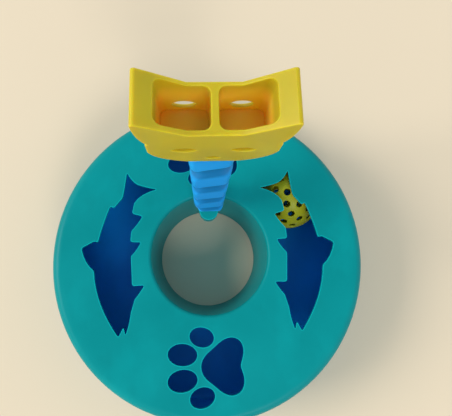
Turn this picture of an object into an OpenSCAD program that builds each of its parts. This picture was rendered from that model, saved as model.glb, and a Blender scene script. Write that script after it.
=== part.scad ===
// Cat puzzle feeder: a covered ball track with a cat-head food hopper on a leaning spiral neck.
// Millimetres. The ring's axis is Z, the feet stand on Z = 0, the head is on the +Y side.

/* [Ring] */
// Diameter of the centre hole at the top
hole_d = 101; // [96:1:110]
// Inward taper of the centre hole's wall on each side
hole_taper = 4.5; // [2:0.5:7]
// Wall thickness of the cover
cover_wall = 3; // [2.4:0.1:4]
// Radius of the cover's rounded outer edge
edge_r = 8; // [5:0.5:10]
// Radius of the lip round the centre hole
lip_r = 3; // [1:0.5:4]
// Clearance between the cover and the tray
cover_gap = 0.5; // [0.3:0.1:1]

/* [Tray] */
// Wall thickness of the tray
tray_wall = 2.6; // [2:0.1:3.2]
// Thickness of the tray's floor
floor_t = 4; // [3:0.5:6]
// Height of the rim that the cover stands on
rim_h = 20; // [12:1:30]
// Free height above the ball
headroom = 3; // [2:0.5:8]
// Side play of the ball in the track
track_play = 8.3; // [6:0.1:16]

/* [Feet] */
// Diameter of a foot
foot_d = 16; // [10:1:22]
// Height of a foot
foot_h = 4; // [3:0.5:6]
// Depth that a foot sits in the tray
foot_seat = 2; // [1:0.5:2.5]

/* [Ball] */
// Diameter of the ball
ball_d = 64; // [60:1:68]
// Wall thickness of the ball
ball_wall = 2; // [1.6:0.1:3]
// Diameter of the holes in the ball
ball_hole_d = 6.5; // [5:0.5:8.5]
// Place of the ball along the track in degrees from +X
ball_angle = 36; // [20:1:60]

/* [Windows] */
// Length of a fish window
fish_l = 139; // [120:1:142]
// Overall height of a paw window across the toes
paw_l = 62; // [50:1:63]

/* [Neck] */
// Height of the neck
neck_h = 121; // [100:1:140]
// Width of the neck at its foot
foot_w = 26; // [25:1:30]
// Width of the neck at its top
top_w = 35; // [33:1:40]
// How far the neck leans outwards
lean = 22; // [18:1:26]
// Pitch of the spiral at the foot
pitch_low = 21; // [18:1:26]
// Pitch of the spiral at the top
pitch_high = 42; // [36:1:48]
// Depth of the spiral groove as a share of the neck's half width
groove = 0.24; // [0.1:0.01:0.28]
// Depth of the neck across its two flats as a share of its width
flats = 0.84; // [0.78:0.01:0.95]
// Thickness of the lug that carries the neck
lug_t = 14; // [10:1:18]

/* [Head] */
// Width of the head across the ears
head_w = 90; // [84:1:100]
// Depth of the head from front to back
head_d = 32; // [30:1:40]
// Height of the head from the chin to the middle of the top edge
face_h = 60; // [54:1:72]
// Height of the ears above the middle of the top edge
ear_h = 20; // [14:1:26]
// Width of the level stretch between the ears
brow_w = 32; // [24:1:40]
// Width of the level stretch under the chin
chin_w = 34; // [26:1:36]
// Wall thickness in front of the pockets
front_wall = 3.6; // [2.8:0.1:4.4]
// Wall thickness behind the pockets
back_wall = 2.6; // [2:0.1:4]
// Thickness of the ears beside the pockets
side_wall = 11.5; // [8:0.5:13]
// Thickness of the divider between the pockets
divider = 4.6; // [3:0.1:8]
// Height of the pocket floor above the chin
pocket_floor = 20; // [19:0.5:24]
// Width of an eye slot
eye_w = 16; // [10:0.5:18]
// Height of an eye slot
eye_h = 8.5; // [6:0.5:10]
// Distance of an eye from the middle
eye_x = 18; // [15:0.5:22]
// Width of a back slot
back_slot_w = 15; // [10:0.5:18]
// Height of a back slot
back_slot_h = 12; // [6:0.5:13]

/* [Swivel] */
// Diameter of the swivel pin
pin_d = 10; // [8:0.5:11]
// Radial clearance of the pin in the bush
pin_gap = 0.06; // [0.03:0.01:0.1]
// Wall thickness of the bush
bush_wall = 2; // [1.5:0.1:2.5]
// Length of the bush
bush_l = 8; // [7:0.5:9]
// Diameter of the neck bolt
bolt_d = 5; // [4:0.5:6]

/* [Hidden] */
$fn = 96;
foot_count = 6;
foot_z = foot_h - foot_seat;
track_z = foot_z + floor_t;
rim_z = foot_z + rim_h;
plate_z = track_z + ball_d + headroom;
top_z = plate_z + cover_wall;
tray_top = plate_z - headroom;
hole_r = hole_d / 2;
nest = cover_wall + cover_gap;
track_in = hole_r + nest + tray_wall;
track_out = track_in + ball_d + track_play;
tray_r = track_out + tray_wall;
ring_r = tray_r + nest;
mid_r = (track_in + track_out) / 2;
orbit_r = mid_r + 3;
foot_ring_r = mid_r;

neck_y = hole_r - 2.5;
head_y = neck_y + lean;
neck_top = top_z + neck_h;
bolt_y = neck_y - 4.5;
bolt_deep = 10;
washer_t = 1;
bolt_head_d = bolt_d + 3;
bolt_head_h = bolt_d * 0.7;
lug_end_r = 8.2;
lug_reach = hole_r - 21;
lug_root_r = hole_r + 0.7;

thrust_t = 0.8;
run_gap = 0.1;
chin_z = neck_top + thrust_t + run_gap;
flange_t = 1.6;
bush_d = pin_d + 2 * bush_wall;
flange_d = bush_d + 6;
socket_h = pocket_floor - 4;
ring_z = chin_z + bush_l + 0.3;
ring_t = 1.2;
pin_top = ring_z + ring_t + 2;
pin_deep = 16;
slot_z = chin_z + pocket_floor + max(eye_h, back_slot_h) / 2 + 3;

teal = [0.03, 0.57, 0.60];
deep_blue = [0.01, 0.36, 0.62];
sky_blue = [0.10, 0.50, 0.78];
yellow = [0.83, 0.75, 0.20];
steel = [0.75, 0.76, 0.78];
nylon = [0.92, 0.92, 0.90];
rubber = [0.12, 0.12, 0.13];

// Points on an arc from angle a to angle b
function arc(c, r, a, b, n) =
    [for (i = [0 : n]) let (v = a + (b - a) * i / n) c + r * [cos(v), sin(v)]];
// Points on a curve from a to b that is pulled towards c; both ends are left out
function bow(a, c, b, n) =
    [for (i = [1 : n - 1]) let (t = i / n) (1 - t) * (1 - t) * a + 2 * t * (1 - t) * c + t * t * b];
// Outline with every sharp corner rounded, at most r along each of its two sides
function softened(p, r) =
    let (n = len(p))
    [for (i = [0 : n - 1]) each round_corner(p[i], p[(i + n - 1) % n], p[(i + 1) % n], r)];
// Corner b between a and c: left alone where the outline hardly turns
function round_corner(b, a, c, r) =
    let (u = (a - b) / norm(a - b), v = (c - b) / norm(c - b))
    let (p = b + u * min(r, 0.42 * norm(a - b)), q = b + v * min(r, 0.42 * norm(c - b)))
    u * v < -0.86 ? [b] : concat([p], bow(p, b, q, 3), [q]);
// Radius of the centre hole's wall at height z
function funnel_r(z) = hole_r - hole_taper * (top_z - z) / (top_z - foot_z);

// The tray

module tray_profile() {
    polygon(concat(
        [[funnel_r(foot_z) + nest, foot_z]],
        arc([ring_r - 3, foot_z + 3], 3, -90, 0, 6),
        [[ring_r, rim_z]],
        [[tray_r, rim_z]],
        arc([tray_r - tray_wall / 2, tray_top - tray_wall / 2], tray_wall / 2, 0, 180, 8),
        arc([track_out - 4, track_z + 4], 4, 0, -90, 6),
        [[funnel_r(track_z) + nest + tray_wall, track_z]],
        [[funnel_r(tray_top) + nest + tray_wall, tray_top]],
        [[funnel_r(tray_top) + nest, tray_top]]));
}

module foot_place(i) {
    rotate([0, 0, 360 * (i - 0.5) / foot_count])
        translate([foot_ring_r, 0, 0])
            children();
}

module base_tray() {
    color(deep_blue)
        difference() {
            rotate_extrude()
                tray_profile();
            for (i = [1 : foot_count])
                foot_place(i)
                    translate([0, 0, foot_z - 1])
                        cylinder(d = foot_d, h = foot_seat + 1);
        }
}

module foot(i) {
    color(rubber)
        foot_place(i) {
            cylinder(d1 = foot_d - 2, d2 = foot_d, h = 1);
            translate([0, 0, 1])
                cylinder(d = foot_d, h = foot_h - 1);
        }
}

// The cover

fish_s = fish_l / 139;
paw_s = paw_l / 62;
fish_nose = [-16, -65.6];
fish_tail = [-20, 73.2];
fish_dorsal = [6, -11.5];
fish_belly = [-26, -46];
fish_root = [-27, 45.5];
fish_fork = [-47, 57.6];
tip_r = 2;

// Fish with its nose to -Y, its back to +X and the track's middle line on X = 0
module fish() {
    polygon(softened(concat(
        [fish_nose],
        bow(fish_nose, [4.2, -38.6], fish_dorsal, 8),
        [fish_dorsal],
        bow(fish_dorsal, [14, -6], [17.4, 7.6], 4),
        [[17.4, 7.6], [6.5, 13.4], [3.5, 12.1]],
        bow([3.5, 12.1], [0.5, 26], [-6.2, 43.4], 4),
        [[-6.2, 43.4], [-9.1, 41.5], [-16.8, 50.5]],
        bow([-16.8, 50.5], [-18.5, 60], fish_tail, 4),
        [fish_tail],
        bow(fish_tail, [-24, 65], [-29.7, 62], 4),
        [[-29.7, 62]],
        bow([-29.7, 62], [-38, 59], fish_fork, 4),
        [fish_fork],
        bow(fish_fork, [-32, 54], fish_root, 4),
        [fish_root, [-25.2, 36.4], [-34.6, 33.8]],
        bow([-34.6, 33.8], [-29, 25], [-25, 21.4], 4),
        [[-25, 21.4], [-24.2, 11.9], [-33.5, 11.4]],
        bow([-33.5, 11.4], [-29, 3], [-25, 0], 4),
        [[-25, 0], [-26.5, -25], [-37, -24.6]],
        bow([-37, -24.6], [-31, -34], [-26.8, -38], 4),
        [fish_belly],
        bow(fish_belly, [-25, -56], [-21.8, -64.3], 4),
        [[-21.8, -64.3], [-20, -57.6]]), tip_r));
}

module toe(x, y, rx, ry, tilt) {
    translate([x, y])
        rotate(tilt)
            polygon([for (a = [0 : 12 : 348]) [rx * cos(a), ry * sin(a)]]);
}

// Paw with its toes to -X and its pad to +X, centred on the track's middle line
module paw() {
    translate([10.5, 0])
        polygon([for (a = [0 : 7.5 : 352.5])
            (19 + 0.3 * cos(a) - 2.2 * cos(2 * a) - 3.2 * cos(3 * a) - 0.4 * cos(4 * a)) * [cos(a), sin(a)]]);
    for (m = [-1, 1]) {
        toe(-24, m * 9.9, 12.2, 8.6, -6 * m);
        toe(-8, m * 23, 10.3, 7.8, -14 * m);
    }
}

module windows() {
    for (m = [0, 1]) {
        mirror([m, 0])
            translate([mid_r, 0])
                scale([fish_s, fish_s])
                    fish();
        mirror([0, m])
            translate([0, mid_r - 2])
                scale([paw_s, paw_s])
                    paw();
    }
}

module cover_profile() {
    polygon(concat(
        [[ring_r - cover_wall, rim_z]],
        [[ring_r, rim_z]],
        arc([ring_r - edge_r, top_z - edge_r], edge_r, 0, 90, 10),
        arc([hole_r + lip_r, top_z - lip_r], lip_r, 90, 180, 5),
        [[funnel_r(foot_z), foot_z]],
        [[funnel_r(foot_z) + cover_wall, foot_z]],
        [[funnel_r(plate_z) + cover_wall, plate_z]],
        arc([ring_r - edge_r, top_z - edge_r], edge_r - cover_wall, 90, 0, 10)));
}

module lug_outline() {
    spread = asin((foot_w / 2 - 1) / lug_root_r);
    polygon(concat(
        arc([0, lug_reach + lug_end_r], lug_end_r, 190, 350, 16),
        arc([0, 0], lug_root_r, 90 - spread, 90 + spread, 8)));
}

// Fills the rounded lip between the lug and the plate, under the foot of the neck
module lip_bridge() {
    spread = asin((foot_w / 2 - 2) / hole_r);
    polygon(concat(
        arc([0, 0], hole_r - 1, 90 + spread, 90 - spread, 8),
        arc([0, 0], hole_r + lip_r + 0.4, 90 - spread, 90 + spread, 8)));
}

module top_cover() {
    color(teal)
        difference() {
            union() {
                rotate_extrude()
                    cover_profile();
                translate([0, 0, top_z - lug_t])
                    linear_extrude(lug_t)
                        lug_outline();
                translate([0, 0, plate_z])
                    linear_extrude(cover_wall)
                        lip_bridge();
            }
            translate([0, 0, plate_z - 1])
                linear_extrude(cover_wall + 2)
                    windows();
            translate([0, bolt_y, top_z - lug_t - 1])
                cylinder(d = bolt_d + 0.4, h = lug_t + 2);
        }
}

// The neck

growth = (pitch_high - pitch_low) / neck_h;
turn_cols = 48;
turn_start = -1.26;
turn_rows = 6 * 4;
spiral_u = [0, 0.05, 0.52, 0.76];
spiral_in = [1, 0, 0, 1];

// Height of the spiral after t turns
function turn_z(t) = pitch_low / growth * (exp(growth * t) - 1);
// Point of the neck's skin at column i and row j; the two flats cut the crests of the spiral
function skin(i, j) =
    let (t = turn_start + floor(j / 4) + spiral_u[j % 4] + i / turn_cols)
    let (z = turn_z(t), k = z / neck_h, a = 360 * i / turn_cols)
    let (s = 1 - groove * spiral_in[j % 4])
    let (half = (foot_w + (top_w - foot_w) * k) / 2)
    let (q = pow(pow(abs(cos(a)), 3) + pow(abs(sin(a)), 3), 1 / 3))
    let (across = max(-flats, min(flats, s * sin(a) / q)))
    [half * s * cos(a) / q, neck_y + lean * k + half * across, top_z + z];
function at(i, j) = i * (turn_rows + 1) + j;

module neck_skin() {
    last = turn_cols - 1;
    points = [for (i = [0 : last]) for (j = [0 : turn_rows]) skin(i, j)];
    low = concat([for (i = [0 : last]) at(i, 0)], [for (j = [4 : -1 : 1]) at(0, j)]);
    high = concat([for (i = [0 : last]) at(i, turn_rows)],
        [for (j = [1 : 4]) at(last, turn_rows - j)]);
    ends = [[0, neck_y - 4, top_z + turn_z(turn_start + 0.5)],
        [0, head_y + 8, top_z + turn_z(turn_start + 6.5)]];
    n = len(points);
    polyhedron(concat(points, ends), concat(
        [for (i = [0 : last - 1]) for (j = [0 : turn_rows - 1])
            [at(i, j), at(i, j + 1), at(i + 1, j)]],
        [for (i = [0 : last - 1]) for (j = [0 : turn_rows - 1])
            [at(i, j + 1), at(i + 1, j + 1), at(i + 1, j)]],
        [for (j = [0 : turn_rows - 5]) [at(last, j), at(last, j + 1), at(0, j + 4)]],
        [for (j = [0 : turn_rows - 5]) [at(last, j + 1), at(0, j + 5), at(0, j + 4)]],
        [for (i = [0 : len(low) - 1]) [low[i], low[(i + 1) % len(low)], n]],
        [for (i = [0 : len(high) - 1]) [high[(i + 1) % len(high)], high[i], n + 1]]));
}

module spiral_neck() {
    color(sky_blue)
        difference() {
            intersection() {
                neck_skin();
                translate([-60, -60, top_z])
                    cube([120, 240, neck_h]);
            }
            translate([0, bolt_y, top_z - 1])
                cylinder(d = bolt_d, h = bolt_deep + 2);
            translate([0, head_y, neck_top - pin_deep])
                cylinder(d = pin_d, h = pin_deep + 1);
        }
}

module neck_bolt() {
    color(steel)
        translate([0, bolt_y, top_z - lug_t - washer_t])
            difference() {
                union() {
                    translate([0, 0, -bolt_head_h])
                        cylinder(d = bolt_head_d, h = bolt_head_h);
                    cylinder(d = bolt_d, h = washer_t + lug_t + bolt_deep);
                }
                translate([0, 0, -bolt_head_h - 1])
                    cylinder(d = bolt_d * 0.8, h = bolt_head_h * 0.6 + 1, $fn = 6);
            }
}

module neck_washer() {
    color(steel)
        translate([0, bolt_y, top_z - lug_t - washer_t])
            difference() {
                cylinder(d = bolt_head_d + 1, h = washer_t);
                translate([0, 0, -1])
                    cylinder(d = bolt_d + 0.4, h = washer_t + 2);
            }
}

// The swivel

module swivel_pin() {
    color(steel)
        translate([0, head_y, 0])
            difference() {
                translate([0, 0, neck_top - pin_deep])
                    cylinder(d = pin_d, h = pin_top - neck_top + pin_deep);
                translate([0, 0, ring_z])
                    difference() {
                        cylinder(d = pin_d + 2, h = ring_t);
                        translate([0, 0, -1])
                            cylinder(d = pin_d - 2, h = ring_t + 2);
                    }
            }
}

module thrust_washer() {
    color(nylon)
        translate([0, head_y, neck_top])
            difference() {
                cylinder(d = flange_d, h = thrust_t);
                translate([0, 0, -1])
                    cylinder(d = pin_d + 0.4, h = thrust_t + 2);
            }
}

module swivel_bush() {
    color(nylon)
        translate([0, head_y, chin_z])
            difference() {
                union() {
                    cylinder(d = bush_d, h = bush_l);
                    cylinder(d = flange_d, h = flange_t);
                }
                translate([0, 0, -1])
                    cylinder(d = pin_d + 2 * pin_gap, h = bush_l + 2);
            }
}

module snap_ring() {
    color(steel)
        translate([0, head_y, ring_z])
            difference() {
                cylinder(d = pin_d + 2, h = ring_t);
                translate([0, 0, -1])
                    cylinder(d = pin_d - 2, h = ring_t + 2);
                translate([0, -1.5, -1])
                    cube([pin_d, 3, ring_t + 2]);
            }
}

// The head

function head_half() =
    let (w = head_w / 2, cheek = head_w / 2 - 4.4, jaw = 0.42 * face_h)
    let (ear = [w, face_h + ear_h - 2], ledge = [cheek - 1.6, 0.7 * face_h])
    concat(
        [[brow_w / 2, face_h]],
        arc(ear - [2, 0], 2, 110, 0, 5),
        bow(ear, [w, 0.88 * face_h], ledge, 6),
        [ledge, [cheek, 0.7 * face_h - 1], [cheek, jaw]],
        bow([cheek, jaw], [cheek - 3.1, 0.13 * face_h], [chin_w / 2, 0], 10),
        [[chin_w / 2, 0]]);

module head_outline() {
    half = head_half();
    n = len(half);
    polygon(concat(half, [for (i = [n - 1 : -1 : 0]) [-half[i][0], half[i][1]]]));
}

module lens(w, h) {
    r = (w * w + h * h) / (4 * h);
    a = asin(w / 2 / r);
    polygon(concat(
        arc([0, h / 2 - r], r, 90 - a, 90 + a, 10),
        arc([0, r - h / 2], r, 270 - a, 270 + a, 10)));
}

module pocket(w, d, r) {
    for (x = [r, w - r])
        for (y = [r, d - r])
            translate([x, y])
                circle(r, $fn = 32);
    translate([r, 0])
        square([w - 2 * r, d]);
    translate([0, r])
        square([w, d - 2 * r]);
}

module head_hopper() {
    pocket_w = head_w / 2 - side_wall - divider / 2;
    pocket_d = head_d - front_wall - back_wall;
    color(yellow)
        translate([0, head_y, chin_z])
            difference() {
                rotate([90, 0, 0])
                    translate([0, 0, -head_d / 2])
                        linear_extrude(head_d)
                            head_outline();
                for (m = [0, 1])
                    mirror([m, 0, 0]) {
                        translate([divider / 2, front_wall - head_d / 2, pocket_floor])
                            linear_extrude(face_h + ear_h)
                                pocket(pocket_w, pocket_d, 4.7);
                        translate([eye_x, 0, slot_z - chin_z])
                            rotate([90, 0, 0])
                                linear_extrude(head_d)
                                    lens(eye_w, eye_h);
                        translate([eye_x, head_d, slot_z - chin_z])
                            rotate([90, 0, 0])
                                linear_extrude(head_d)
                                    lens(back_slot_w, back_slot_h);
                    }
                translate([0, -head_d / 2 + 2.5, 10])
                    rotate([90, 0, 0])
                        linear_extrude(10)
                            lens(10, 6);
                cylinder(d = bush_d, h = socket_h);
                cylinder(d = flange_d + 0.4, h = flange_t);
            }
}

// The ball

ball_rows = [10.4, 31.2, 52, 73];
ball_count = [17, 15, 11, 5];

module ball_half() {
    difference() {
        intersection() {
            sphere(d = ball_d);
            translate([-ball_d, -ball_d, 0])
                cube(2 * ball_d);
        }
        sphere(d = ball_d - 2 * ball_wall);
        for (k = [0 : 3])
            for (i = [0 : ball_count[k] - 1])
                rotate([0, 90 - ball_rows[k], 360 * (i + k / 2) / ball_count[k]])
                    translate([0, 0, ball_d / 2 - ball_wall - 2])
                        cylinder(d = ball_hole_d, h = ball_wall + 4, $fn = 24);
    }
}

module ball_place() {
    rotate([0, 0, ball_angle])
        translate([orbit_r, 0, track_z + ball_d / 2])
            rotate([28, 14, 0])
                children();
}

module ball_upper_shell() {
    color(yellow)
        ball_place()
            ball_half();
}

module ball_lower_shell() {
    color(yellow)
        ball_place()
            mirror([0, 0, 1])
                ball_half();
}

base_tray();
foot(1);  // foot_1
foot(2);  // foot_2
foot(3);  // foot_3
foot(4);  // foot_4
foot(5);  // foot_5
foot(6);  // foot_6
top_cover();
spiral_neck();
neck_bolt();
neck_washer();
swivel_pin();
thrust_washer();
swivel_bush();
snap_ring();
head_hopper();
ball_upper_shell();
ball_lower_shell();
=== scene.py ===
"""Looks of the cat puzzle feeder: a covered ball track with a cat-head hopper on a spiral neck."""

import math

import bmesh
import bpy
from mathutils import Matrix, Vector


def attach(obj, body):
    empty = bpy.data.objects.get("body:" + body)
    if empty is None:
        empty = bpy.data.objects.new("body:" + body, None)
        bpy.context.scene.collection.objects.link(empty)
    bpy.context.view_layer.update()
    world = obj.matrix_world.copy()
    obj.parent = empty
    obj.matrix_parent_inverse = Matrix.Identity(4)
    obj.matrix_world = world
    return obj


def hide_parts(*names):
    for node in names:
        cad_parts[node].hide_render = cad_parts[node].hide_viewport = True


MM = 0.001
FEET = 6

# Sizes of the neck in millimetres, as in the part's source
COVER_TOP_Z = 76
NECK_HEIGHT = 121
NECK_FOOT_Y = 48
NECK_LEAN = 22
NECK_FOOT_WIDTH, NECK_TOP_WIDTH = 26, 35
PITCH_AT_FOOT, PITCH_AT_TOP = 21, 42
# Depth of the groove and reach of the flat front and back, as shares of the neck's half width
GROOVE_DEPTH = 0.24
NECK_FLATS = 0.84
# Power of the neck's squarish section: 2 would make it round
NECK_SQUARENESS = 3
# Where the spiral starts, in turns from the foot, how many turns it has and columns in each
SPIRAL_START = -1.26
SPIRAL_TURNS = 6
NECK_COLUMNS = 96
# Share of one turn and share of the groove's depth at each row of the spiral
GROOVE_PROFILE = (
    (0.000, 1.00),
    (0.016, 0.80),
    (0.032, 0.30),
    (0.046, 0.06),
    (0.075, 0.00),
    (0.280, 0.00),
    (0.460, 0.00),
    (0.520, 0.05),
    (0.600, 0.30),
    (0.690, 0.74),
    (0.760, 0.96),
    (0.880, 1.00),
)
# Reach to each side of the flat grid that is wound into the neck, and the gap that its seam closes
GRID_REACH = 0.5
SEAM_GAP = 0.01 * MM
# Name of the attribute that keeps the groove's depth, from which the neck's finish paints shade into the
# grooves
GROOVE_RECORD = "groove_depth"

# Where the pockets' walls and floors are in the head, and how softly their painted amber glow begins
POCKET_FRONT_Y, POCKET_BACK_Y = 57.4 * MM, 83.6 * MM
POCKET_END_X = 33.6 * MM
POCKET_RIM_Z, POCKET_FLOOR_Z = 257.5 * MM, 238 * MM
POCKET_BLUR = 0.1 * MM

# Finish colours in linear light
COVER_TEAL = (0.001, 0.252, 0.262)
TRAY_BLUE = (0.002, 0.255, 0.720)
NECK_BLUE = (0.020, 0.340, 0.880)
HEAD_YELLOW = (0.510, 0.418, 0.016)
# Amber of the pockets' painted glow, standing for light bounced in the yellow walls
POCKET_PAINTED_GLOW = (1.000, 0.640, 0.060)
BALL_YELLOW = (0.430, 0.440, 0.015)
NYLON_WHITE = (0.780, 0.780, 0.750)
FOOT_BLACK = (0.018, 0.018, 0.020)
STEEL_GREY = (0.560, 0.570, 0.580)
TABLE_CREAM = (0.775, 0.640, 0.470)

# Satin of each plastic: its roughness, the tone of its rubbed edges with their painted highlight, and its
# sheen
COVER_SATIN = {"roughness": 0.36, "edge_rub_and_highlight_tone": 1.8, "sheen": 0.09}
TRAY_SATIN = {"roughness": 0.36, "edge_rub_and_highlight_tone": 1.2, "sheen": 0.15}
NECK_SATIN = {"roughness": 0.32, "edge_rub_and_highlight_tone": 1.25, "sheen": 0.12}
HEAD_SATIN = {"roughness": 0.34, "edge_rub_and_highlight_tone": 1.15, "sheen": 0.22}
BALL_SATIN = {"roughness": 0.40, "edge_rub_and_highlight_tone": 1.15, "sheen": 0.18}

# A noise is given by its scale, its detail and, where it isn't even, its stretch along each axis

# Flow marks in the plastic: the span of their noise that shows, and the tones at its two ends
FLOW_MARKS = (14, 4)
FLOW_SPAN = (0.3, 0.7)
FLOW_TONES = (0.90, 1.07)
# Smudges, and a lighter haze that is partly scuffing and partly painted reflection: the span of their noise
# that shows, how much of them covers the plastic, and their tone
SMUDGES = (55, 6)
SMUDGE_SPAN = (0.55, 0.8)
SMUDGE_SHARE = (0, 0.35)
SMUDGE_TONE = 0.80
SCUFF_AND_REFLECTION_HAZE = (20, 4, (1.4, 1, 1))
SCUFF_AND_REFLECTION_SPAN = (0.50, 0.72)
SCUFF_AND_REFLECTION_SHARE = (0, 0.4)
SCUFF_AND_REFLECTION_TONE = 1.30
# Painted shade in the neck's grooves: the span of their depth in which it darkens, by how much, and its tone
GROOVE_SHADE_SPAN = (0.02, 0.50)
GROOVE_SHADE_SHARE = (0, 0.85)
GROOVE_SHADE_TONE = 0.42
# Rubbed edges, also lighter as a painted highlight: their radius, the rays that look for them, and the
# likeness of normals that bounds them
EDGE_RUB_AND_HIGHLIGHT_RADIUS = 1.6 * MM
EDGE_RUB_AND_HIGHLIGHT_RAYS = 6
EDGE_RUB_AND_HIGHLIGHT_SPAN = (0.995, 0.90)
# Roughness follows the flow marks, by this much down and up
ROUGH_SPAN = (0.25, 0.75)
ROUGH_CHANGE = (-0.05, 0.07)
# Hairline scratches, whose depth is a share of the spark grain's height
SCRATCHES = (60, 5, (1, 14, 1))
SCRATCH_SPAN = (0.60, 0.72)
SCRATCH_DEPTH = -0.5
SPARK_GRAIN = (1900, 2)
# Light under the head's skin: how much, how deep, and the shares of that depth for red, green and blue
HEAD_GLOW = 0.8
HEAD_GLOW_DEPTH = 9 * MM
HEAD_GLOW_COLOURS = (1.0, 0.6, 0.12)

# Dust and grain of the feet
FOOT_DUST = (160, 5)
DUST_SPAN = (0.45, 0.7)
DUST_SHARE = (0, 0.6)
DUST_TONE = 3.5
FOOT_GRAIN = (900, 3)
FOOT_ROUGHNESS = 0.85
# Turning lines of the steel
TURNING_LINES = (300, 3, (1, 1, 12))
LINE_TONES = (0.85, 1.1)
LINE_SPAN = (0.3, 0.7)
LINE_ROUGHNESS = (0.25, 0.42)
# Cloud and grain of the nylon
NYLON_CLOUD = (220, 4)
NYLON_TONES = (0.92, 1.05)
NYLON_GRAIN = (1500, 2)
NYLON_ROUGHNESS = 0.55
# Strength and height of each relief
PLASTIC_RELIEF = (0.10, 0.15 * MM)
FOOT_RELIEF = (0.3, 0.2 * MM)
STEEL_RELIEF = (0.15, 0.1 * MM)
NYLON_RELIEF = (0.1, 0.1 * MM)
# The table: its reach to each side in metres, and its cloud
TABLE_REACH = 6
TABLE_CLOUD = (3, 3)
TABLE_TONES = (0.97, 1.03)
TABLE_ROUGHNESS = 0.7
TABLE_SHEEN = 0.1

# Width and steps of the rounding on the sharp edges of CAD nodes
EDGE_ROUNDS = {"top_cover": (0.8 * MM, 3), "head_hopper": (1.5 * MM, 4), "base_tray": (0.6 * MM, 2)}
# Gap that a weld closes, angle up to which faces are one flat, angle from which an edge is rounded
WELD_GAP = 0.005 * MM
FLAT_ANGLE = math.radians(1)
SHARP_ANGLE = math.radians(40)
# How much large faces count in the normals, in per cent
LARGE_FACE_WEIGHT = 100
# Angle up to which a new piece looks smooth
SMOOTH_ANGLE = math.radians(50)

# Softboxes in metres and watts, and the point that both face
KEY_SOFTBOX = {"place": (-11.4, 0.45, 8.24), "width": 6.3, "power": 1305, "colour": (1.0, 0.94, 0.86)}
FILL_SOFTBOX = {"place": (2.04, -9.0, 9.17), "width": 4.95, "power": 522, "colour": (1.0, 0.98, 0.95)}
SOFTBOX_AIM = (0, 0, 0.08)
# Light of the studio's backdrop at the sides and overhead, and the heights between which it fades
BACKDROP_SIDES = (0.77, 0.74, 0.70)
BACKDROP_OVERHEAD = (0.22, 0.45, 0.64)
BACKDROP_FADE = (0.55, 0.95)

# Camera at the photo's viewing angle: place in millimetres, turn in degrees
CAMERA_PLACE = (-11.2, -21.9, 521.9)
CAMERA_TURN = (15.107, -3.173, -1.618)
CAMERA_LENS, CAMERA_SENSOR = 40.05, 36
CAMERA_SHIFT = -0.14
CAMERA_NEAR = 0.01

# Sockets that carry colour on a Mix node
MIX_FIRST, MIX_SECOND, MIX_RESULT = 6, 7, 2


def shade(colour, tone=1):
    return tuple(min(1.0, c * tone) for c in colour) + (1.0,)


class Wiring:
    """The nodes of a material or of the world, and the links between them."""

    def __init__(self, owner):
        owner.use_nodes = True
        self.nodes = owner.node_tree.nodes
        self.links = owner.node_tree.links

    def give(self, socket, value):
        """Joins a socket to another node's output, or sets it to a plain value."""
        if isinstance(value, bpy.types.NodeSocket):
            self.links.new(value, socket)
        else:
            socket.default_value = value

    def span(self, value, bounds, results=(0, 1)):
        """Carries a value from between two bounds to between two results."""
        remap = self.nodes.new("ShaderNodeMapRange")
        self.give(remap.inputs["Value"], value)
        for end, number in zip(("From Min", "From Max", "To Min", "To Max"), (*bounds, *results)):
            self.give(remap.inputs[end], number)
        return remap.outputs["Result"]

    def blend(self, share, first, second):
        """Goes from the first colour to the second as the share goes from 0 to 1."""
        mix = self.nodes.new("ShaderNodeMix")
        mix.data_type = "RGBA"
        self.give(mix.inputs["Factor"], share)
        self.give(mix.inputs[MIX_FIRST], first)
        self.give(mix.inputs[MIX_SECOND], second)
        return mix.outputs[MIX_RESULT]

    def calculate(self, operation, *values):
        """One step of arithmetic."""
        step = self.nodes.new("ShaderNodeMath")
        step.operation = operation
        for socket, value in zip(step.inputs, values):
            self.give(socket, value)
        return step.outputs["Value"]

    def axes(self, place):
        split = self.nodes.new("ShaderNodeSeparateXYZ")
        self.give(split.inputs["Vector"], place)
        return split.outputs


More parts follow.
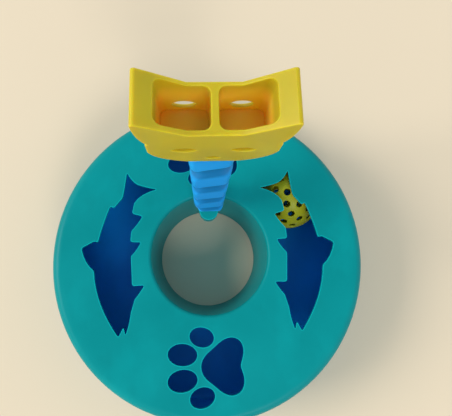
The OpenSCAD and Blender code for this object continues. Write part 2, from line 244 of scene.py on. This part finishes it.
class Finish(Wiring):
    """A material whose patterns lie on Object coordinates."""

    def __init__(self, name):
        self.material = bpy.data.materials.new(name)
        super().__init__(self.material)
        self.skin = self.nodes["Principled BSDF"].inputs
        self.place = self.nodes.new("ShaderNodeTexCoord").outputs["Object"]

    def noise(self, scale, detail, stretch=None):
        texture = self.nodes.new("ShaderNodeTexNoise")
        self.give(texture.inputs["Scale"], scale)
        self.give(texture.inputs["Detail"], detail)
        place = self.place
        if stretch:
            mapping = self.nodes.new("ShaderNodeMapping")
            self.give(mapping.inputs["Scale"], stretch)
            self.give(mapping.inputs["Vector"], place)
            place = mapping.outputs["Vector"]
        self.give(texture.inputs["Vector"], place)
        return texture.outputs["Fac"]

    def two_tone(self, share, colour, tones):
        dark, light = tones
        return self.blend(share, shade(colour, dark), shade(colour, light))

    def rubbed_and_highlit_edges(self):
        """Share of rubbing and painted highlight: all along sharp edges, where a rounded normal departs from
        the real one.
        """
        rounded = self.nodes.new("ShaderNodeBevel")
        rounded.samples = EDGE_RUB_AND_HIGHLIGHT_RAYS
        self.give(rounded.inputs["Radius"], EDGE_RUB_AND_HIGHLIGHT_RADIUS)
        real = self.nodes.new("ShaderNodeNewGeometry")
        likeness = self.nodes.new("ShaderNodeVectorMath")
        likeness.operation = "DOT_PRODUCT"
        self.give(likeness.inputs[0], rounded.outputs["Normal"])
        self.give(likeness.inputs[1], real.outputs["Normal"])
        return self.span(likeness.outputs["Value"], EDGE_RUB_AND_HIGHLIGHT_SPAN)

    def read_attribute(self, name):
        """Reads an attribute that the piece's mesh keeps."""
        reading = self.nodes.new("ShaderNodeAttribute")
        reading.attribute_name = name
        return reading.outputs["Fac"]

    def emboss(self, height, strength, distance):
        relief = self.nodes.new("ShaderNodeBump")
        self.give(relief.inputs["Strength"], strength)
        self.give(relief.inputs["Distance"], distance)
        self.give(relief.inputs["Height"], height)
        self.give(self.skin["Normal"], relief.outputs["Normal"])


def moulded_plastic(name, colour, roughness, edge_rub_and_highlight_tone, sheen, detail=None):
    """Satin moulded plastic: flow marks, smudges, a haze of scuffs and painted reflection, spark grain,
    hairline scratches, and rubbed edges with a painted highlight.
    """
    finish = Finish(name)
    flow = finish.noise(*FLOW_MARKS)
    body = finish.two_tone(finish.span(flow, FLOW_SPAN), colour, FLOW_TONES)
    smudge = finish.span(finish.noise(*SMUDGES), SMUDGE_SPAN, SMUDGE_SHARE)
    body = finish.blend(smudge, body, shade(colour, SMUDGE_TONE))
    # Lighter haze, partly scuffing and partly painted reflection
    scuff_and_reflection_haze = finish.span(finish.noise(*SCUFF_AND_REFLECTION_HAZE), SCUFF_AND_REFLECTION_SPAN, SCUFF_AND_REFLECTION_SHARE)
    body = finish.blend(scuff_and_reflection_haze, body, shade(colour, SCUFF_AND_REFLECTION_TONE))
    if detail:
        body = detail(finish, body)
    # Edges lighten as rubbing and as a painted highlight on their roundings
    rubbed_and_highlit = finish.blend(finish.rubbed_and_highlit_edges(), body, shade(colour, edge_rub_and_highlight_tone))
    finish.give(finish.skin["Base Color"], rubbed_and_highlit)
    finish.give(finish.skin["Specular IOR Level"], sheen)
    smoother, rougher = (roughness + change for change in ROUGH_CHANGE)
    finish.give(finish.skin["Roughness"], finish.span(flow, ROUGH_SPAN, (smoother, rougher)))
    scratch = finish.span(finish.noise(*SCRATCHES), SCRATCH_SPAN)
    height = finish.calculate("MULTIPLY_ADD", scratch, SCRATCH_DEPTH, finish.noise(*SPARK_GRAIN))
    finish.emboss(height, *PLASTIC_RELIEF)
    return finish.material


def painted_pocket_glow(finish, body):
    """Painted amber glow that grows from the pockets' rims to their floors, and light under the head's skin.
    """
    x, y, z = finish.axes(finish.place)
    share = finish.span(z, (POCKET_RIM_Z, POCKET_FLOOR_Z))
    for limit in (
        finish.span(y, (POCKET_FRONT_Y - POCKET_BLUR, POCKET_FRONT_Y + POCKET_BLUR)),
        finish.span(y, (POCKET_BACK_Y + POCKET_BLUR, POCKET_BACK_Y - POCKET_BLUR)),
        finish.span(finish.calculate("ABSOLUTE", x), (POCKET_END_X + 2 * POCKET_BLUR, POCKET_END_X)),
    ):
        share = finish.calculate("MULTIPLY", share, limit)
    finish.give(finish.skin["Subsurface Weight"], HEAD_GLOW)
    finish.give(finish.skin["Subsurface Radius"], HEAD_GLOW_COLOURS)
    finish.give(finish.skin["Subsurface Scale"], HEAD_GLOW_DEPTH)
    return finish.blend(share, body, shade(POCKET_PAINTED_GLOW))


# Painted shade in the neck's grooves: the blue darkens with the groove's depth, where the crest above would
# shade it
def painted_groove_shade(finish, body):
    depth = finish.span(finish.read_attribute(GROOVE_RECORD), GROOVE_SHADE_SPAN, GROOVE_SHADE_SHARE)
    return finish.blend(depth, body, shade(NECK_BLUE, GROOVE_SHADE_TONE))


def foot_rubber():
    finish = Finish("foot_rubber")
    dust = finish.span(finish.noise(*FOOT_DUST), DUST_SPAN, DUST_SHARE)
    finish.give(finish.skin["Base Color"], finish.two_tone(dust, FOOT_BLACK, (1, DUST_TONE)))
    finish.give(finish.skin["Roughness"], FOOT_ROUGHNESS)
    finish.emboss(finish.noise(*FOOT_GRAIN), *FOOT_RELIEF)
    return finish.material


def turned_steel():
    finish = Finish("turned_steel")
    lines = finish.noise(*TURNING_LINES)
    finish.give(finish.skin["Base Color"], finish.two_tone(lines, STEEL_GREY, LINE_TONES))
    finish.give(finish.skin["Metallic"], 1)
    finish.give(finish.skin["Roughness"], finish.span(lines, LINE_SPAN, LINE_ROUGHNESS))
    finish.emboss(lines, *STEEL_RELIEF)
    return finish.material


def bearing_nylon():
    finish = Finish("bearing_nylon")
    cloud = finish.noise(*NYLON_CLOUD)
    finish.give(finish.skin["Base Color"], finish.two_tone(cloud, NYLON_WHITE, NYLON_TONES))
    finish.give(finish.skin["Roughness"], NYLON_ROUGHNESS)
    finish.emboss(finish.noise(*NYLON_GRAIN), *NYLON_RELIEF)
    return finish.material


def table_top():
    finish = Finish("table_top")
    cloud = finish.noise(*TABLE_CLOUD)
    finish.give(finish.skin["Base Color"], finish.two_tone(cloud, TABLE_CREAM, TABLE_TONES))
    finish.give(finish.skin["Roughness"], TABLE_ROUGHNESS)
    finish.give(finish.skin["Specular IOR Level"], TABLE_SHEEN)
    return finish.material


def wear_finish(piece, material):
    piece.data.materials.clear()
    piece.data.materials.append(material)


def knit_skin(piece):
    """Joins the loose triangles of a CAD node into one skin."""
    weld = piece.modifiers.new("weld", "WELD")
    weld.merge_threshold = WELD_GAP


def soften_edges(piece, width, steps):
    """Rounds the sharp edges of a CAD node, whose flat faces are first made whole."""
    knit_skin(piece)
    flats = piece.modifiers.new("flats", "DECIMATE")
    flats.decimate_type = "DISSOLVE"
    flats.angle_limit = FLAT_ANGLE
    round_over = piece.modifiers.new("round_over", "BEVEL")
    round_over.width = width
    round_over.segments = steps
    round_over.limit_method = "ANGLE"
    round_over.angle_limit = SHARP_ANGLE
    even = piece.modifiers.new("even", "WEIGHTED_NORMAL")
    even.mode = "FACE_AREA"
    even.weight = LARGE_FACE_WEIGHT
    for face in piece.data.polygons:
        face.use_smooth = True


def add_piece(name, mesh):
    data = bpy.data.meshes.new(name)
    mesh.to_mesh(data)
    mesh.free()
    for face in data.polygons:
        face.use_smooth = True
    data.set_sharp_from_angle(angle=SMOOTH_ANGLE)
    piece = bpy.data.objects.new(name, data)
    bpy.context.scene.collection.objects.link(piece)
    return piece


def spiral_height(turns):
    """Height of the spiral above the neck's foot: its pitch grows evenly with the height."""
    growth = (PITCH_AT_TOP - PITCH_AT_FOOT) / NECK_HEIGHT
    return PITCH_AT_FOOT / growth * (math.exp(growth * turns) - 1)


def neck_point(column, row):
    """Place of a point of the wound grid, and the share of the groove's depth there."""
    turn, step = divmod(row, len(GROOVE_PROFILE))
    share, depth = GROOVE_PROFILE[step]
    z = spiral_height(SPIRAL_START + turn + share + column / NECK_COLUMNS)
    up = z / NECK_HEIGHT
    angle = 2 * math.pi * column / NECK_COLUMNS
    c, s = math.cos(angle), math.sin(angle)
    corner = (abs(c) ** NECK_SQUARENESS + abs(s) ** NECK_SQUARENESS) ** (1 / NECK_SQUARENESS)
    reach = (1 - GROOVE_DEPTH * depth) / corner
    half = (NECK_FOOT_WIDTH + (NECK_TOP_WIDTH - NECK_FOOT_WIDTH) * up) / 2
    across = max(-NECK_FLATS, min(NECK_FLATS, reach * s))
    y = NECK_FOOT_Y + NECK_LEAN * up + half * across
    return Vector((half * reach * c, y, COVER_TOP_Z + z)) * MM, depth


def make_spiral_neck():
    """The neck's skin is a grid that is wound into the spiral, cut level at both ends and closed."""
    rows = SPIRAL_TURNS * len(GROOVE_PROFILE)
    mesh = bmesh.new()
    bmesh.ops.create_grid(mesh, x_segments=NECK_COLUMNS, y_segments=rows, size=GRID_REACH)
    groove = mesh.verts.layers.float.new(GROOVE_RECORD)
    for vert in mesh.verts:
        column = round((vert.co.x + GRID_REACH) * NECK_COLUMNS)
        row = round((vert.co.y + GRID_REACH) * rows)
        vert.co, vert[groove] = neck_point(column, row)
    bmesh.ops.remove_doubles(mesh, verts=mesh.verts, dist=SEAM_GAP)
    for level, up in ((COVER_TOP_Z, -1), (COVER_TOP_Z + NECK_HEIGHT, 1)):
        bmesh.ops.bisect_plane(
            mesh,
            geom=mesh.verts[:] + mesh.edges[:] + mesh.faces[:],
            plane_co=(0, 0, level * MM),
            plane_no=(0, 0, up),
            clear_outer=True,
        )
    bmesh.ops.holes_fill(mesh, edges=[e for e in mesh.edges if e.is_boundary])
    bmesh.ops.recalc_face_normals(mesh, faces=mesh.faces)
    neck = add_piece("spiral_neck_skin", mesh)
    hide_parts("spiral_neck")
    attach(neck, "cover")
    return neck


def make_table():
    mesh = bmesh.new()
    bmesh.ops.create_grid(mesh, x_segments=1, y_segments=1, size=TABLE_REACH)
    table = add_piece("table", mesh)
    wear_finish(table, table_top())


def add_softbox(name, place, width, power, colour):
    lamp = bpy.data.lights.new(name, "AREA")
    lamp.shape = "SQUARE"
    lamp.size = width
    lamp.energy = power
    lamp.color = colour
    holder = bpy.data.objects.new(name, lamp)
    holder.location = place
    holder.rotation_euler = (Vector(SOFTBOX_AIM) - Vector(place)).to_track_quat("-Z", "Y").to_euler()
    bpy.context.scene.collection.objects.link(holder)


def light_studio():
    add_softbox("key_softbox", **KEY_SOFTBOX)
    add_softbox("fill_softbox", **FILL_SOFTBOX)
    world = bpy.data.worlds.new("studio")
    backdrop = Wiring(world)
    height = backdrop.axes(backdrop.nodes.new("ShaderNodeTexCoord").outputs["Generated"])["Z"]
    fade = backdrop.span(height, BACKDROP_FADE)
    light = backdrop.blend(fade, shade(BACKDROP_SIDES), shade(BACKDROP_OVERHEAD))
    backdrop.give(backdrop.nodes["Background"].inputs["Color"], light)
    bpy.context.scene.world = world
    bpy.context.scene.view_settings.view_transform = "Standard"


def place_camera():
    lens = bpy.data.cameras.new("photo_camera")
    lens.sensor_width = CAMERA_SENSOR
    lens.lens = CAMERA_LENS
    lens.shift_y = CAMERA_SHIFT
    lens.clip_start = CAMERA_NEAR
    camera = bpy.data.objects.new("photo_camera", lens)
    camera.location = Vector(CAMERA_PLACE) * MM
    camera.rotation_euler = [math.radians(a) for a in CAMERA_TURN]
    bpy.context.scene.collection.objects.link(camera)
    bpy.context.scene.camera = camera


def dress_feeder(nodes):
    neck_blue = moulded_plastic("neck_blue", NECK_BLUE, **NECK_SATIN, detail=painted_groove_shade)
    ball_yellow = moulded_plastic("ball_yellow", BALL_YELLOW, **BALL_SATIN)
    steel = turned_steel()
    nylon = bearing_nylon()
    rubber = foot_rubber()
    finishes = {
        "top_cover": moulded_plastic("cover_teal", COVER_TEAL, **COVER_SATIN),
        "base_tray": moulded_plastic("tray_blue", TRAY_BLUE, **TRAY_SATIN),
        "head_hopper": moulded_plastic("head_yellow", HEAD_YELLOW, **HEAD_SATIN, detail=painted_pocket_glow),
        "spiral_neck": neck_blue,
        "ball_upper_shell": ball_yellow,
        "ball_lower_shell": ball_yellow,
        "neck_bolt": steel,
        "neck_washer": steel,
        "swivel_pin": steel,
        "snap_ring": steel,
        "thrust_washer": nylon,
        "swivel_bush": nylon,
    }
    for number in range(1, FEET + 1):
        finishes[f"foot_{number}"] = rubber
    for name, material in finishes.items():
        wear_finish(nodes[name], material)
    for name, (width, steps) in EDGE_ROUNDS.items():
        soften_edges(nodes[name], width, steps)
    for half in ("ball_upper_shell", "ball_lower_shell"):
        knit_skin(nodes[half])
    wear_finish(make_spiral_neck(), neck_blue)


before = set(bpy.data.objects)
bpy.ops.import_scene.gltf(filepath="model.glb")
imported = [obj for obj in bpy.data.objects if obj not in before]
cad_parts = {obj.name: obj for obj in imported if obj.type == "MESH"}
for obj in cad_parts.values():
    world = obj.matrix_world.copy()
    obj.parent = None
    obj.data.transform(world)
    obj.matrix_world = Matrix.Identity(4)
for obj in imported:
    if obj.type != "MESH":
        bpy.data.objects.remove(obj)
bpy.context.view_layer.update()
dress_feeder(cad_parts)
make_table()
light_studio()
place_camera()
